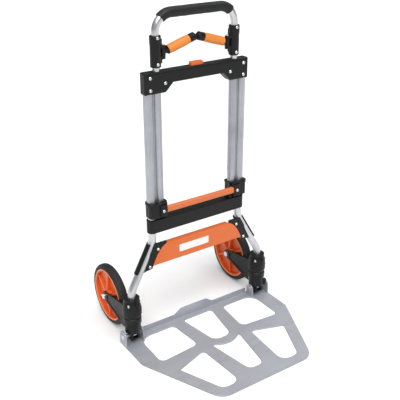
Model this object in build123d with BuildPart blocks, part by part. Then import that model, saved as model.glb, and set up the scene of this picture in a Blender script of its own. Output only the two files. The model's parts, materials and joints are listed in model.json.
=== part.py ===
from build123d import *

import os
from math import cos, radians, sin

# Folding hand truck with a telescopic two-stage frame. Millimetres, +Z up, X across the truck, -Y
# towards the toe plate. The origin is on the floor, midway between the lower tubes. Left is -X.

os.makedirs("parts", exist_ok=True)

# ---------------------------------------------------------------- driving dimensions
# Clearances
seat_gap = 0.1  # round a fixed piece in its seat
run_gap = 0.08  # radial, a pin or shaft that turns
slide_gap = 0.35  # radial, a tube that telescopes in its channel
face_gap = 0.4  # between faces of pieces that move past each other

# Tubes and their places across the truck
rail_od = 20.0
rail_wall = 1.5
handle_od = 18.0
handle_wall = 1.5
handle_x = 109.9  # handle tube, from the middle
lobe_pitch = 23.4  # handle tube to lower tube in the upright
rail_x = handle_x + lobe_pitch
corner_x = 204.0  # lower tube in the corner casting
corner_y = -6.0  # its axis there, a little ahead of the uprights
tube_bend = 60.0
rail_bottom = 37.0
splay_low = 150.0  # the lower tube's two bends
splay_high = 274.0
rail_top = 650.0

# Uprights, two round channels joined by a web
rail_lobe_od = 23.4  # the channel the lower tube slides in
handle_lobe_od = 21.6  # the channel the handle tube slides in
web_width = 8.0
upright_bottom = 348.0
upright_top = 703.5

# Handle
handle_bottom = 358.0
handle_top = 835.0
handle_bend = 42.5
grip_od = 25.0
grip_wrap = 42.0  # degrees of each bend under the foam
sleeve_bottom = 716.5
sleeve_height = 71.5
sleeve_od = 25.4
sleeve_collar_od = 26.8

# Swing arms
arm_pivot_x = 90.0
arm_pivot_z = 748.5
arm_rise = 17.0  # degrees above level, towards the middle
arm_grip_od = 22.0

# Wheels
wheel_radius = 85.0
wheel_trail = 117.0
tyre_width = 25.0
rim_radius = 72.0
axle_radius = 5.0
fork_inside = 29.2  # between the fork's arms
fork_arm = 4.6
fork_low = 62.5
fork_high = 112.5

# Corner casting
casting_radius = 21.0
casting_low = 12.5
hinge_y = -8.0
hinge_z = 26.5
hinge_pin_radius = 4.0
barrel_radius = 8.0
barrel_length = 12.6
hinge_cheek = 5.0

# Toe plate
sheet = 3.0
plate_half_width = 235.0
plate_back = 16.0
plate_side_front = -105.0
plate_front = -318.0
plate_front_half = 113.0
lip_height = 16.5
hump_height = 31.0
hump_half = 42.0
hump_foot = 63.0
ear_radius = 17.0
inner_ear_x = 179.5

# Crossbars
cap_bottom = 656.5
cap_top = 708.0
cap_beam_bottom = 679.0
cap_depth = 26.0
cap_wall = 2.6
beam_bottom = 301.0
beam_top = 338.0
beam_wall = 3.0
bracket_bottom = 346.0
bracket_top = 384.0
bar_low = 357.0
bar_high = 372.5
bar_front = -25.5
bar_back = -13.0
bar_half = 101.5

# Panel
panel_low = 210.5
panel_high = 265.0
panel_top_half = 98.0
panel_low_half = 140.0
panel_front = -12.5
panel_thick = 6.0

# Fasteners
screw_radius = 2.5
screw_head_radius = 4.2
screw_head = 2.4

# Travels
button_travel = 5.0
bar_travel = 6.0
pin_travel = 4.0

# ---------------------------------------------------------------- helpers
rail_radius = rail_od / 2
handle_radius = handle_od / 2
rail_lobe = rail_lobe_od / 2
handle_lobe = handle_lobe_od / 2
splay = Vector(corner_x - rail_x, corner_y, splay_low - splay_high).normalized()
corner_plane = Plane((corner_x, corner_y, 0), x_dir=(1, 0, 0), z_dir=(0, -1, 0))
corner_axis = Axis((corner_x, corner_y, 0), (0, 0, 1))
axle_y = corner_y + wheel_trail


def facing_front(y):
    """A plane at depth y that faces the front: its own axes are X and Z, and it extrudes to -Y."""
    return Plane.XZ.offset(-y)


def save(built, name):
    """Label a finished piece and write its file."""
    built.part.label = name
    export_step(built.part, f"parts/{name}.step")


def save_pair(built, name):
    """Write a right-hand piece and its mirror image."""
    with BuildPart() as mirrored:
        mirror(built.part, about=Plane.YZ)
    save(built, name + "_right")
    save(mirrored, name + "_left")


def save_twins(built, name):
    """Write a piece and its mirror image as two solids of one file."""
    with BuildPart() as twins:
        add(built.part)
        mirror(built.part, about=Plane.YZ)
    save(twins, name)


def front_screw(length):
    """A dome-headed screw along Y, its head's seat at the origin and its point towards +Y."""
    with BuildPart(mode=Mode.PRIVATE) as screw:
        with BuildSketch(Plane.YZ):
            with BuildLine():
                Line((length, 0), (-screw_head, 0))
                ThreePointArc(
                    (-screw_head, 0),
                    (-screw_head * 0.62, screw_head_radius * 0.72),
                    (0, screw_head_radius),
                )
                Polyline((0, screw_head_radius), (0, screw_radius), (length, screw_radius), (length, 0))
            make_face()
        revolve(axis=Axis.Y)
        # Hexagon socket in the head.
        with BuildSketch(facing_front(-screw_head - 1)):
            RegularPolygon(radius=1.6, side_count=6)
        extrude(amount=-2.4, mode=Mode.SUBTRACT)
    return screw.part


def screws(places, length):
    """Identical screws, each with its head's seat at one of the places."""
    one = front_screw(length)
    with BuildPart() as group:
        for place in places:
            with Locations(place):
                add(one)
    return group


def both_sides(points):
    """The given right-hand points and their mirror images."""
    return [(side * x, y, z) for x, y, z in points for side in (-1, 1)]


# ---------------------------------------------------------------- lower tubes
def pin_hole(x, z, radius, y_axis):
    """Cut a latch hole into the tube at x, through its front wall or its inner wall."""
    reach = 14.0
    if y_axis:
        with Locations(Location((x, -reach / 2, z), (90, 0, 0))):
            Cylinder(radius, reach, mode=Mode.SUBTRACT)
    else:
        with Locations(Location((x - reach / 2, 0, z), (0, 90, 0))):
            Cylinder(radius, reach, mode=Mode.SUBTRACT)


pin_radius = 3.0
pin_hole_radius = pin_radius + 0.3
rail_pin_z = (bar_low + bar_high) / 2
frame_travel = 170.0
handle_travel = 190.0
latch_steps = 2

side_tube_corners = [
    (corner_x, corner_y, rail_bottom),
    (corner_x, corner_y, splay_low),
    (rail_x, 0, splay_high),
    (rail_x, 0, rail_top),
]
with BuildPart() as side_tube:
    with BuildLine():
        FilletPolyline(*side_tube_corners, radius=tube_bend)
    with BuildSketch(Plane.XY.offset(rail_bottom)):
        with Locations((corner_x, corner_y)):
            Circle(rail_radius)
            Circle(rail_radius - rail_wall, mode=Mode.SUBTRACT)
    sweep()
    for step in range(latch_steps + 1):
        pin_hole(rail_x, rail_pin_z + step * frame_travel / latch_steps, pin_hole_radius, True)
save_pair(side_tube, "side_tube")

# A plug in the tube's upper end, its flange guiding the upright that slides over it.
guide_flange = 12.0
with BuildPart() as tube_guide:
    with BuildSketch(Plane.XY.offset(rail_top - 14)):
        with Locations((rail_x, 0)):
            Circle(rail_radius - rail_wall - seat_gap)
            Circle(rail_radius - rail_wall - 3, mode=Mode.SUBTRACT)
    extrude(amount=14 + guide_flange)
    with BuildSketch(Plane.XY.offset(rail_top)):
        with Locations((rail_x, 0)):
            Circle(rail_radius + slide_gap - 0.15)
            Circle(rail_radius - rail_wall - 3, mode=Mode.SUBTRACT)
    extrude(amount=guide_flange)
    chamfer(tube_guide.edges().group_by(Axis.Z)[-1], 0.8)
save_twins(tube_guide, "tube_guides")


# ---------------------------------------------------------------- clamp collars above the forks
collar_low = fork_high + face_gap
collar_high = 136.0
collar_low_radius = 24.0
collar_high_radius = 20.5
pinch_y = corner_y - rail_radius - 3.6
pinch_z = collar_low + 8.5
pinch_radius = 2.2
pinch_seat = 15.5
with BuildPart() as tube_collar:
    with BuildSketch(corner_plane):
        with BuildLine():
            Polyline(
                (0, collar_low),
                (collar_low_radius, collar_low),
                (collar_low_radius - 1, collar_low + 8),
                (collar_high_radius - 1.2, collar_high - 4),
                (collar_high_radius, collar_high - 3),
                (collar_high_radius, collar_high),
                (0, collar_high),
                (0, collar_low),
            )
        make_face()
    revolve(axis=corner_axis)
    with Locations((corner_x, corner_y, (collar_low + collar_high) / 2)):
        Cylinder(rail_radius + seat_gap, collar_high - collar_low + 2, mode=Mode.SUBTRACT)
    # The split that the pinch bolt closes, its bolt hole and its two spot faces.
    with Locations((corner_x, corner_y - rail_radius - 10, (collar_low + collar_high) / 2)):
        Box(1.6, 22, collar_high - collar_low + 2, mode=Mode.SUBTRACT)
    with Locations(Location((corner_x, pinch_y, pinch_z), (0, 90, 0))):
        Cylinder(pinch_radius + seat_gap, 60, mode=Mode.SUBTRACT)
    for side in (-1, 1):
        with Locations(Location((corner_x + side * (pinch_seat + 6), pinch_y, pinch_z), (0, 90, 0))):
            Cylinder(screw_head_radius + 0.6, 12, mode=Mode.SUBTRACT)
save_pair(tube_collar, "tube_collar")

with BuildPart() as pinch_bolts:
    for corner in (-corner_x, corner_x):
        with Locations(Location((corner, pinch_y, pinch_z), (0, 90, 0))):
            Cylinder(pinch_radius, 2 * pinch_seat)
        for side in (-1, 1):
            with Locations(Location((corner + side * (pinch_seat + 1.6), pinch_y, pinch_z), (0, 90, 0))):
                Cylinder(screw_head_radius, 3.2)
    chamfer(pinch_bolts.edges().filter_by(GeomType.CIRCLE).filter_by(lambda e: e.radius > 4), 0.7)
save(pinch_bolts, "pinch_bolts")

# ---------------------------------------------------------------- corner castings
casting_high = fork_low - face_gap
frame_half = barrel_length / 2 + face_gap + hinge_cheek
shoulder = 33.0
frame_front = hinge_y - 12.5
frame_back = hinge_y + 12.5
boss_place = (19.0, -18.0)
boss_radius = 7.5
boss_height = 16.0
boss_centre_z = 42.0
with BuildPart() as boss:
    with Locations((corner_x + boss_place[0], boss_place[1], boss_centre_z)):
        Cylinder(boss_radius, boss_height)
    fillet(boss.edges().filter_by(GeomType.CIRCLE), 2.5)


def corner_casting(with_boss):
    """The moulding under one side tube, on the right: a socket above and the hinge frame below."""
    with BuildPart() as casting:
        with BuildSketch(Plane.XY.offset(shoulder)):
            with Locations((corner_x, corner_y)):
                Circle(casting_radius)
        extrude(amount=casting_high - shoulder)
        chamfer(casting.edges().group_by(Axis.Z)[0], 3)
        chamfer(casting.edges().group_by(Axis.Z)[-1], 1)
        with Locations((corner_x, (frame_front + frame_back) / 2, (casting_low + shoulder + 6) / 2)):
            Box(2 * frame_half, frame_back - frame_front, shoulder + 6 - casting_low)
        fillet(casting.edges().filter_by(Axis.X).group_by(Axis.Z)[0], 5)
        if with_boss:
            add(boss.part)
        # Socket for the side tube.
        with Locations((corner_x, corner_y, (rail_bottom + casting_high) / 2 + 1)):
            Cylinder(rail_radius + seat_gap, casting_high - rail_bottom + 2, mode=Mode.SUBTRACT)
        # The window that the hinge barrel turns in, and the pin's bore through both cheeks.
        window_top = hinge_z + barrel_radius + 1.0
        window_low = hinge_z - barrel_radius - 0.6
        with Locations((corner_x, hinge_y, (window_low + window_top) / 2)):
            Box(barrel_length + 2 * face_gap, 60, window_top - window_low, mode=Mode.SUBTRACT)
        with Locations(Location((corner_x, hinge_y, hinge_z), (0, 90, 0))):
            Cylinder(hinge_pin_radius + run_gap, 60, mode=Mode.SUBTRACT)
    return casting


# The right-hand casting alone carries a rounded boss at its outer front corner.
with BuildPart() as left_casting:
    mirror(corner_casting(False).part, about=Plane.YZ)
save(left_casting, "corner_casting_left")
save(corner_casting(True), "corner_casting_right")

# ---------------------------------------------------------------- wheel forks
arm_in = fork_inside / 2
arm_out = arm_in + fork_arm
hub_cover = 12.5
head_low_radius = 23.5
neck_radius = 21.8
head_high_radius = 25.0
arm_root_low = 47.0
arm_root_depth = 20.0
wheel_centre = (corner_x, axle_y, wheel_radius)


def fork_arm_outline(inset):
    """The arm's side view, a straight taper from its root to the axle, drawn smaller by inset."""
    with BuildSketch(mode=Mode.PRIVATE) as outline:
        with Locations((axle_y, wheel_radius)):
            Circle(hub_cover - inset)
        with Locations((corner_y + 4 + arm_root_depth / 2, (arm_root_low + fork_high) / 2)):
            Rectangle(arm_root_depth, fork_high - arm_root_low - 2 * inset)
        make_hull()
    return outline.sketch


with BuildPart() as wheel_fork:
    with BuildSketch(corner_plane):
        with BuildLine():
            Polyline(
                (0, fork_low),
                (head_low_radius - 1.5, fork_low),
                (head_low_radius, fork_low + 1.5),
                (head_low_radius, 79),
                (neck_radius, 81),
                (neck_radius, 84),
                (head_high_radius, 90),
                (head_high_radius, 104),
                (collar_low_radius, fork_high),
                (0, fork_high),
                (0, fork_low),
            )
        make_face()
    revolve(axis=corner_axis)
    for side in (-1, 1):
        near = corner_x + side * arm_in
        with BuildSketch(Plane.YZ.offset(near)):
            add(fork_arm_outline(0))
        extrude(amount=side * fork_arm)
        with BuildSketch(Plane.YZ.offset(corner_x + side * arm_out)):
            with Locations((0, 0)):
                add(fork_arm_outline(5.5))
            with Locations((axle_y, wheel_radius)):
                Circle(hub_cover, mode=Mode.SUBTRACT)
            with Locations((corner_y, wheel_radius)):
                Rectangle(2 * head_high_radius + 12, 100, mode=Mode.SUBTRACT)
        extrude(amount=-side * 1.5, mode=Mode.SUBTRACT)
    # Room for the side tube, and for the casting under the head.
    with Locations((corner_x, corner_y, (fork_low + fork_high) / 2)):
        Cylinder(rail_radius + seat_gap, fork_high - fork_low + 2, mode=Mode.SUBTRACT)
    with Locations((corner_x, corner_y, fork_low - 15)):
        Cylinder(casting_radius + 0.8, 30, mode=Mode.SUBTRACT)
    with Locations(Location(wheel_centre, (0, 90, 0))):
        Cylinder(axle_radius + seat_gap, 60, mode=Mode.SUBTRACT)
save_pair(wheel_fork, "wheel_fork")

nut_height = 6.0
with BuildPart() as axle_bolt:
    with Locations(Location(wheel_centre, (0, 90, 0))):
        Cylinder(axle_radius, 2 * arm_out + 2 * nut_height)
    with BuildSketch(Plane(wheel_centre, z_dir=(1, 0, 0)).offset(arm_out)):
        Circle(8)
    extrude(amount=nut_height)
    fillet(axle_bolt.edges().group_by(Axis.X)[-1], 2)
save_pair(axle_bolt, "axle_bolt")

with BuildPart() as axle_nut:
    with BuildSketch(Plane(wheel_centre, z_dir=(1, 0, 0)).offset(-arm_out)):
        RegularPolygon(radius=8.2, side_count=6)
        Circle(axle_radius, mode=Mode.SUBTRACT)
    extrude(amount=-nut_height)
save_pair(axle_nut, "axle_nut")

# ---------------------------------------------------------------- wheels
wheel_plane = Plane(wheel_centre, x_dir=(1, 0, 0), z_dir=(0, -1, 0))
wheel_axis = Axis(wheel_centre, (1, 0, 0))
tyre_half = tyre_width / 2
hub_radius = 15.0
hub_half = fork_inside / 2 - face_gap
bush_radius = 8.0
web_half = 2.5
rim_inside = rim_radius - 6.0
spokes = 6

with BuildPart() as tyre:
    with BuildSketch(wheel_plane):
        with BuildLine():
            Polyline(
                (-tyre_half + 0.5, wheel_radius - 7),
                (-tyre_half, wheel_radius - 9),
                (-tyre_half + 1.2, rim_radius),
                (tyre_half - 1.2, rim_radius),
                (tyre_half, wheel_radius - 9),
                (tyre_half - 0.5, wheel_radius - 7),
            )
            ThreePointArc(
                (tyre_half - 0.5, wheel_radius - 7),
                (tyre_half - 3.6, wheel_radius - 2),
                (tyre_half - 8.5, wheel_radius),
            )
            Line((tyre_half - 8.5, wheel_radius), (-tyre_half + 8.5, wheel_radius))
            ThreePointArc(
                (-tyre_half + 8.5, wheel_radius),
                (-tyre_half + 3.6, wheel_radius - 2),
                (-tyre_half + 0.5, wheel_radius - 7),
            )
        make_face()
    revolve(axis=wheel_axis)
save_pair(tyre, "tyre")

with BuildPart() as rim:
    with BuildSketch(wheel_plane):
        with Locations((0, (rim_radius + rim_inside) / 2)):
            Rectangle(tyre_width - 2.4, rim_radius - rim_inside)
        with Locations((0, (rim_inside + hub_radius) / 2)):
            Rectangle(2 * web_half, rim_inside - hub_radius + 2)
        with Locations((0, (hub_radius + bush_radius) / 2)):
            Rectangle(2 * hub_half, hub_radius - bush_radius)
    revolve(axis=wheel_axis)
    fillet(rim.edges().filter_by(GeomType.CIRCLE).filter_by(
        lambda e: abs(e.radius - rim_inside) < 0.01 and abs(e.arc_center.X - corner_x) > web_half + 1), 1.5)
    # Ribs from hub to rim on both faces, tapering outwards.
    for turn in range(spokes):
        spoke_plane = wheel_plane.rotated((360 / spokes * turn, 0, 0))
        with BuildSketch(spoke_plane):
            with BuildLine():
                Polyline(
                    (-hub_half + 1, hub_radius - 2),
                    (hub_half - 1, hub_radius - 2),
                    (tyre_half - 5, rim_inside + 1),
                    (-tyre_half + 5, rim_inside + 1),
                    close=True,
                )
            make_face()
        extrude(amount=3.5, both=True)
    with Locations(Location(wheel_centre, (0, 90, 0))):
        Cylinder(bush_radius, 60, mode=Mode.SUBTRACT)
save_pair(rim, "rim")

with BuildPart() as hub_bush:
    with BuildSketch(Plane(wheel_centre, z_dir=(1, 0, 0)).offset(-hub_half)):
        Circle(bush_radius)
        Circle(axle_radius + run_gap, mode=Mode.SUBTRACT)
    extrude(amount=2 * hub_half)
save_pair(hub_bush, "hub_bush")

# ---------------------------------------------------------------- toe plate
ear_outer_x = plate_half_width - sheet


def window(points, radii):
    """One window cut in the right half of the plate, each corner rounded to its own radius."""
    with BuildSketch(mode=Mode.PRIVATE) as cut:
        with BuildLine():
            Polyline(*points, close=True)
        make_face()
        for (x, y), radius in zip(points, radii):
            fillet(cut.vertices().sort_by_distance((x, y))[0], radius)
    return cut.sketch


side_windows = [
    window([(81, -9), (188, -9), (190, -125), (71, -115)], [14, 34, 14, 18]),
    window([(76, -145), (168, -176), (118, -291), (66, -291)], [10, 5, 24, 24]),
]
middle_windows = [
    window([(-48, -3), (48, -3), (27, -126), (-27, -126)], [9, 9, 24, 24]),
    window([(-46, -134), (0, -168), (46, -134), (22, -270), (-22, -270)], [5, 60, 5, 20, 20]),
]


def lip_outline(height, hump):
    """The raised back edge seen from the front, with its higher middle."""
    with BuildSketch(mode=Mode.PRIVATE) as outline:
        with BuildLine():
            Polyline(
                (-inner_ear_x, 0),
                (inner_ear_x, 0),
                (inner_ear_x, height),
                (hump_foot, height),
                (hump_half, hump),
                (-hump_half, hump),
                (-hump_foot, height),
                (-inner_ear_x, height),
                close=True,
            )
        make_face()
        upper = outline.vertices().filter_by(lambda v: abs(v.X) <= hump_foot + 1)
        fillet(upper, 8)
    return outline.sketch


def ear(x, radius):
    """An upright ear of the plate round the hinge axis, from x outwards by the sheet's thickness."""
    with BuildSketch(Plane.YZ.offset(x), mode=Mode.PRIVATE) as side_view:
        with Locations((hinge_y, hinge_z)):
            Circle(radius)
        with Locations((hinge_y, sheet / 2)):
            Rectangle(2 * radius + 2, sheet)
        make_hull()
    extrude(side_view.sketch, amount=sheet)
    with Locations(Location((x, hinge_y, hinge_z), (0, 90, 0))):
        Cylinder(hinge_pin_radius + seat_gap, 20, mode=Mode.SUBTRACT)


with BuildPart() as toe_plate:
    with BuildSketch() as plate_outline:
        with BuildLine():
            Polyline(
                (-plate_half_width, plate_side_front),
                (-plate_half_width, plate_back - 6),
                (-inner_ear_x - 8, plate_back),
                (inner_ear_x + 8, plate_back),
                (plate_half_width, plate_back - 6),
                (plate_half_width, plate_side_front),
                (154, -286),
                (plate_front_half + 24, plate_front),
                (-plate_front_half - 24, plate_front),
                (-154, -286),
                close=True,
            )
        make_face()
        front_corners = plate_outline.vertices().filter_by(lambda v: v.Y < plate_front + 1)
        fillet(front_corners, 40)
        fillet(plate_outline.vertices().filter_by(lambda v: abs(v.Y - plate_side_front) < 0.1), 30)
        for cut in middle_windows:
            add(cut, mode=Mode.SUBTRACT)
        for cut in side_windows:
            add(cut, mode=Mode.SUBTRACT)
            mirror(cut, about=Plane.YZ, mode=Mode.SUBTRACT)
    extrude(amount=sheet)
    with BuildSketch(facing_front(plate_back)):
        add(lip_outline(lip_height, hump_height))
    extrude(amount=sheet)
    for x in (ear_outer_x, -plate_half_width):
        ear(x, ear_radius)
    for x in (inner_ear_x, -inner_ear_x - sheet):
        ear(x, ear_radius - 4)
save(toe_plate, "toe_plate")

# The hinge pins turn in the castings and are fixed in the plate's ears, with a barrel on each.
pin_head = 1.6
with BuildPart() as hinge_pin:
    with Locations(Location(((inner_ear_x + plate_half_width) / 2, hinge_y, hinge_z), (0, 90, 0))):
        Cylinder(hinge_pin_radius, plate_half_width - inner_ear_x + 2 * pin_head)
    for x in (inner_ear_x - pin_head / 2, plate_half_width + pin_head / 2):
        with Locations(Location((x, hinge_y, hinge_z), (0, 90, 0))):
            Cylinder(hinge_pin_radius + 2.5, pin_head)
    chamfer(hinge_pin.edges().group_by(Axis.X)[-1], 0.5)
save_twins(hinge_pin, "hinge_pins")

with BuildPart() as hinge_barrel:
    with Locations(Location((corner_x, hinge_y, hinge_z), (0, 90, 0))):
        Cylinder(barrel_radius, barrel_length)
        Cylinder(hinge_pin_radius, barrel_length + 2, mode=Mode.SUBTRACT)
    chamfer(hinge_barrel.edges().filter_by(GeomType.CIRCLE).filter_by(lambda e: e.radius > 7), 0.8)
save_twins(hinge_barrel, "hinge_barrels")

# ---------------------------------------------------------------- lower crossbar
beam_end_radius = 13.4
beam_depth = 2 * beam_end_radius
beam_ribs = 6
with BuildPart() as lower_crossbar:
    with BuildSketch(Plane.XY.offset(beam_bottom)):
        SlotCenterToCenter(2 * rail_x, beam_depth)
    extrude(amount=beam_top - beam_bottom)
    chamfer(lower_crossbar.edges().group_by(Axis.Z)[0], 1.5)
    chamfer(lower_crossbar.edges().group_by(Axis.Z)[-1], 1.5)
    # The back is open between ribs.
    cell = (2 * (rail_x - 18) - (beam_ribs - 1) * beam_wall) / beam_ribs
    with Locations((0, beam_depth / 2, (beam_bottom + beam_top) / 2)):
        with GridLocations(cell + beam_wall, 0, beam_ribs, 1):
            Box(cell, 2 * (beam_depth - beam_wall), beam_top - beam_bottom - 2 * beam_wall,
                mode=Mode.SUBTRACT)
    for side in (-1, 1):
        with Locations((side * rail_x, 0, (beam_bottom + beam_top) / 2)):
            Cylinder(rail_radius + seat_gap, beam_top - beam_bottom + 2, mode=Mode.SUBTRACT)
save(lower_crossbar, "lower_crossbar")

# ---------------------------------------------------------------- kick panel and its gussets
gusset_top = 271.0
gusset_low = 203.0
gusset_front = -11.5
gusset_plate = panel_front + panel_thick - gusset_front - seat_gap
tab_thick = 3.5
channel_wall = 3.0
# The panel's tabs stop short of the gussets' channels, this far from the tube's axis.
tab_clear = (rail_radius + channel_wall) / -splay.Z + 0.5
screw_top = (123.3, 253.8)
screw_low = (148.7, 209.5)


def rail_at(z):
    """X of the splayed length of the lower tube at height z."""
    return rail_x + (splay_high - z) * (corner_x - rail_x) / (splay_high - splay_low)


def panel_side(grow):
    """Points down the panel's right end, moved outwards by grow."""
    return [
        (panel_top_half + grow, panel_high + grow),
        (117.5 + grow, 250.5 + grow * 0.7),
        (130.5 + grow, 231),
        (panel_low_half + grow, panel_low - grow),
    ]


with BuildPart() as kick_panel:
    with BuildSketch(facing_front(panel_front)):
        with BuildLine():
            right_end = Spline(*panel_side(0))
            Line(right_end @ 1, (-panel_low_half, panel_low))
            mirror(right_end, about=Plane.YZ)
            Line((-panel_top_half, panel_high), right_end @ 0)
        make_face()
    extrude(amount=-panel_thick)
    fillet(kick_panel.edges().group_by(Axis.Y)[0], 1.5)
    # Stiffening flanges along the top and bottom of the back.
    for z in (panel_low + 1.5, panel_high - 1.5):
        with Locations((0, panel_front + panel_thick + 4, z)):
            Box(2 * panel_top_half - 6, 10, 3)
    # Tabs that reach behind the gussets and take their screws.
    tab_back = panel_front + panel_thick
    with BuildSketch(facing_front(tab_back)):
        for side in (-1, 1):
            with BuildLine():
                Polyline(
                    (side * 90, panel_high - 4),
                    (side * (rail_at(panel_high - 4) - tab_clear), panel_high - 4),
                    (side * (rail_at(panel_low) - tab_clear), panel_low),
                    (side * (screw_low[0] - 8), panel_low - 5),
                    (side * 90, panel_low + 4),
                    close=True,
                )
            make_face()
        with Locations(*[(side * x, z) for side in (-1, 1) for x, z in (screw_top, screw_low)]):
            Circle(screw_radius + seat_gap, mode=Mode.SUBTRACT)
    extrude(amount=-tab_thick)
save(kick_panel, "kick_panel")

label_half = (45.5, 10.0)
label_place = (-15.5, 238.0)
label_thick = 0.6
with BuildPart() as label_plate:
    with BuildSketch(facing_front(panel_front)):
        with Locations(label_place):
            RectangleRounded(2 * label_half[0], 2 * label_half[1], 2)
    extrude(amount=label_thick)
save(label_plate, "label_plate")

# A gusset: a plate in front that meets the panel's end, and a channel round the back of the tube.
channel_front = 7.5  # how far the channel's sides come forward of the tube's axis
splay_start = Vector(rail_x, 0, splay_high)
splay_length = (Vector(corner_x, corner_y, splay_low) - splay_start).length
tube_plane = Plane(splay_start, x_dir=(0, 1, 0), z_dir=splay)
gusset_foot = gusset_low - 4
with BuildPart() as tube_channel:
    with BuildSketch(tube_plane):
        Circle(rail_radius + channel_wall)
        with Locations((-20 - channel_front, 0)):
            Rectangle(40, 60, mode=Mode.SUBTRACT)
    extrude(amount=splay_length)
    for z in (gusset_top + 50, gusset_foot - 50):
        with Locations((rail_x, 0, z)):
            Box(300, 80, 100, mode=Mode.SUBTRACT)

with BuildPart() as panel_gusset:
    with BuildSketch(facing_front(gusset_front)):
        with BuildLine():
            panel_edge = Spline(*panel_side(0.3))
            Polyline(
                panel_edge @ 0,
                (panel_top_half + 1, gusset_top),
                (rail_at(gusset_top), gusset_top),
                (rail_at(gusset_foot), gusset_foot),
                (screw_low[0] - 6, gusset_low),
                panel_edge @ 1,
            )
        make_face()
    extrude(amount=-gusset_plate)
    add(tube_channel.part)
    with BuildLine():
        FilletPolyline(*side_tube_corners, radius=tube_bend)
    with BuildSketch(Plane.XY.offset(rail_bottom)):
        with Locations((corner_x, corner_y)):
            Circle(rail_radius + seat_gap)
    sweep(mode=Mode.SUBTRACT)
    for x, z in (screw_top, screw_low):
        with Locations(Location((x, gusset_front + 3, z), (90, 0, 0))):
            Cylinder(screw_radius + seat_gap, 30, mode=Mode.SUBTRACT)
save_pair(panel_gusset, "panel_gusset")

screw_reach = gusset_plate + tab_thick + 4
panel_screws = screws(
    both_sides([(x, gusset_front, z) for x, z in (screw_top, screw_low)]), screw_reach)
save(panel_screws, "panel_screws")

# ---------------------------------------------------------------- uprights
latch_z = (cap_beam_bottom + cap_top) / 2 + 1
spare_hole_z = 422.0
spare_hole_radius = 2.5
cap_edge_screws = [(132.0, 695.5), (132.0, 666.7)]
cap_middle_screws = [(92.2, 679.2)]
bracket_screw_x = 112.2
bracket_screw_z = 363.5


def upright_profile(grow):
    """The two round channels and their web from outside, grown by a clearance."""
    with BuildSketch(mode=Mode.PRIVATE) as profile:
        with Locations((handle_x, 0)):
            Circle(handle_lobe + grow)
        with Locations((rail_x, 0)):
            Circle(rail_lobe + grow)
        with Locations(((handle_x + rail_x) / 2, 0)):
            Rectangle(lobe_pitch / 2, web_width + 2 * grow)
    return profile.sketch


with BuildPart() as upright:
    with BuildSketch(Plane.XY.offset(upright_bottom)):
        add(upright_profile(0))
        with Locations((handle_x, 0)):
            Circle(handle_radius + slide_gap, mode=Mode.SUBTRACT)
        with Locations((rail_x, 0)):
            Circle(rail_radius + slide_gap, mode=Mode.SUBTRACT)
    extrude(amount=upright_top - upright_bottom)
    with Locations(Location((handle_x - handle_lobe, 0, latch_z), (0, 90, 0))):
        Cylinder(pin_hole_radius, 8, mode=Mode.SUBTRACT)
    with Locations(Location((handle_x - handle_lobe, 0, spare_hole_z), (0, 90, 0))):
        Cylinder(spare_hole_radius, 8, mode=Mode.SUBTRACT)
    with Locations(Location((rail_x, -rail_lobe, rail_pin_z), (90, 0, 0))):
        Cylinder(pin_hole_radius, 8, mode=Mode.SUBTRACT)
    # Threaded holes for the screws of the crossbar and of the lower bracket.
    for x, z in cap_edge_screws:
        with Locations(Location((x, -rail_lobe, z), (90, 0, 0))):
            Cylinder(screw_radius + seat_gap, 8, mode=Mode.SUBTRACT)
    with Locations(Location((bracket_screw_x, -handle_lobe, bracket_screw_z), (90, 0, 0))):
        Cylinder(screw_radius + seat_gap, 8, mode=Mode.SUBTRACT)
save_pair(upright, "upright")

# ---------------------------------------------------------------- upper crossbar
cap_half_depth = cap_depth / 2
cap_end = rail_x + rail_lobe + 1.8
cap_inner = 93.5
cap_haunch = 22.0
cap_rounding = 5.5  # all round the outer face, which the ends' edges run into
chamber_half = 86.0
button_half = 17.5
button_depth = 13.5
cap_middle_reach = 20.0
chamber_low = cap_beam_bottom + cap_wall
chamber_top = cap_top - cap_wall


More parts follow.
